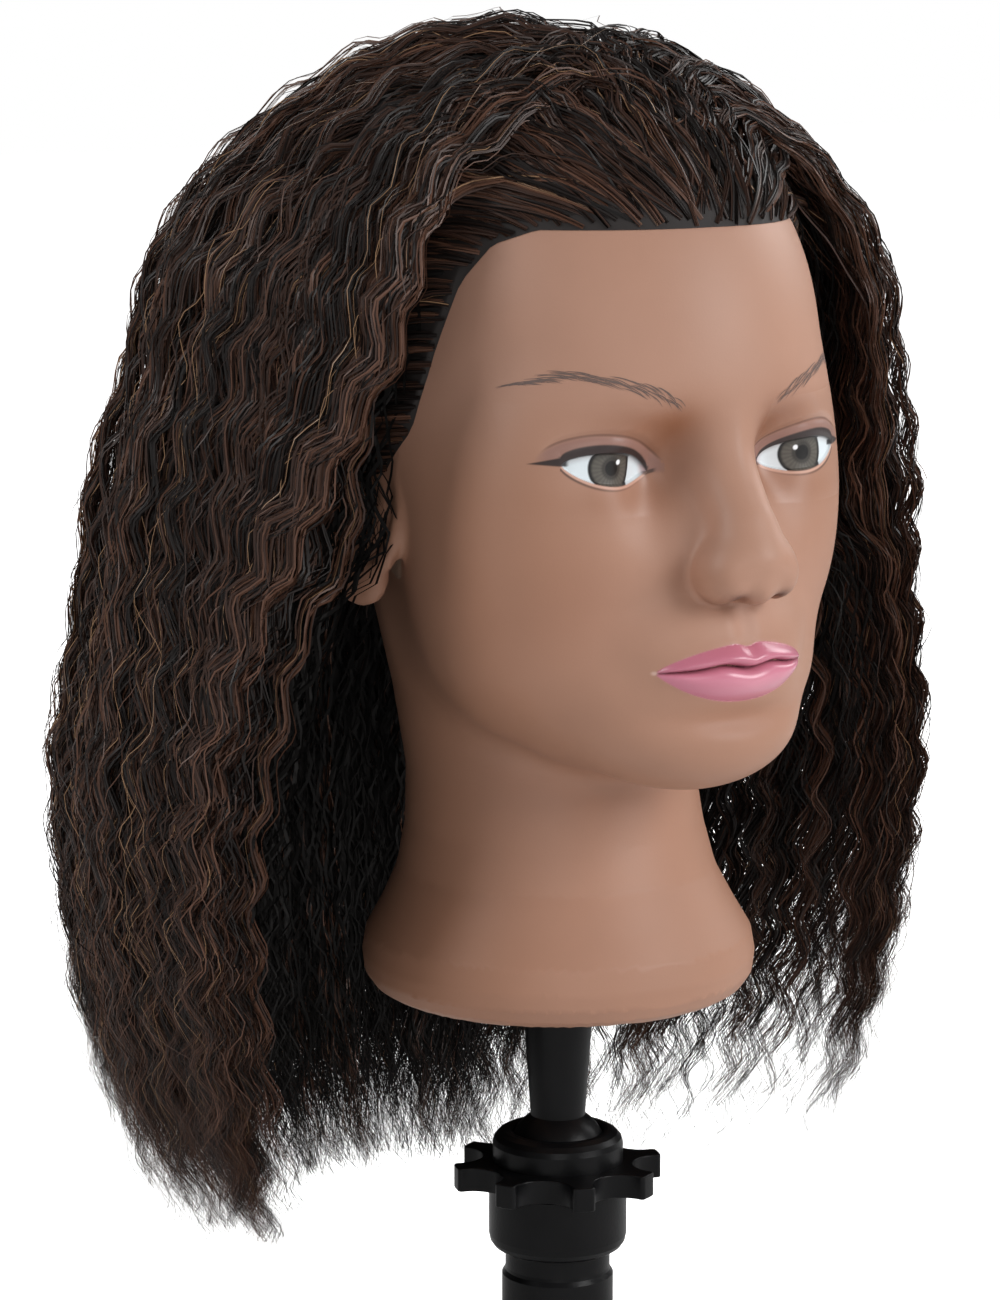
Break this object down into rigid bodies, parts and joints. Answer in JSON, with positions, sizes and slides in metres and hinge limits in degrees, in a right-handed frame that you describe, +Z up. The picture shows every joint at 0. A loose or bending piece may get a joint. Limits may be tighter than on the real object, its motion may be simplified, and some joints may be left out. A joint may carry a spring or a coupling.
{
  "type": "mannequin training head",
  "caption": "Hairdressing practice head with painted face and long crimped hair, on a plug, tilting ball joint, lobed lock ring and column socket.",
  "frame": {"origin": "centre of the column bore at its mouth, the lowest point of the sleeve", "axes": "+Z up through the holder and neck, the face looks along -Y, +X is the head's own left"},
  "size_m": [0.2834, 0.2934, 0.433],
  "materials": {
    "black_plastic": "satin",
    "grey_nylon": "satin",
    "steel": "satin",
    "black_rubber": "matte",
    "vinyl_skin": "satin",
    "rigid_foam": "matte",
    "scalp": "matte",
    "hair": "satin"
  },
  "bodies": {
    "holder": {"sleeve": "black_plastic", "tube_bush": "grey_nylon", "grub_screw": "steel", "joint_screw": "steel", "housing": "black_plastic", "seat_spring": "steel", "seat_cup": "grey_nylon"},
    "clamp": {"pressure_ring": "black_plastic"},
    "lock": {"lock_ring": "black_plastic"},
    "tilt_washer": {"slip_washer": "grey_nylon"},
    "ball": {"ball_post": "black_plastic", "plug": "black_plastic", "plug_washer": "steel", "plug_screw": "steel"},
    "grips": {"grip_ring_lower": "black_rubber", "grip_ring_upper": "black_rubber"},
    "head": {"neck_socket": "black_plastic", "neck_base": "vinyl_skin", "neck_foam": "rigid_foam", "head_core": "rigid_foam", "face_skin": "vinyl_skin", "scalp_cap": "scalp", "hair_front": "hair", "hair_crown": "hair", "hair_side_right": "hair", "hair_rear_right": "hair", "hair_nape": "hair", "hair_rear_left": "hair", "hair_side_left": "hair"}
  },
  "joints": [
    {"name": "clamp_lift", "type": "slide", "parent": "holder", "child": "clamp", "axis": [0, 0, 1], "range_m": [0, 0.001]},
    {"name": "lock_turn", "type": "hinge", "parent": "clamp", "child": "lock", "pos_m": [0, 0, 0.07275], "axis": [0, 0, 1], "range_deg": [0, 120]},
    {"name": "side_tilt", "type": "hinge", "parent": "holder", "child": "tilt_washer", "pos_m": [0, 0, 0.07275], "axis": [0, 1, 0], "range_deg": [-18, 18]},
    {"name": "nod", "type": "hinge", "parent": "tilt_washer", "child": "ball", "pos_m": [0, 0, 0.07275], "axis": [1, 0, 0], "range_deg": [-18, 18]},
    {"name": "spin", "type": "hinge", "parent": "ball", "child": "grips", "pos_m": [0, 0, 0.07275], "axis": [0, 0, 1], "continuous": true},
    {"name": "lift_off", "type": "slide", "parent": "grips", "child": "head", "axis": [0, 0, 1], "range_m": [0, 0.095]}
  ],
  "couplings": [
    {"joint": "clamp_lift", "follows": "lock_turn", "m_per_rad": 0.000477}
  ]
}
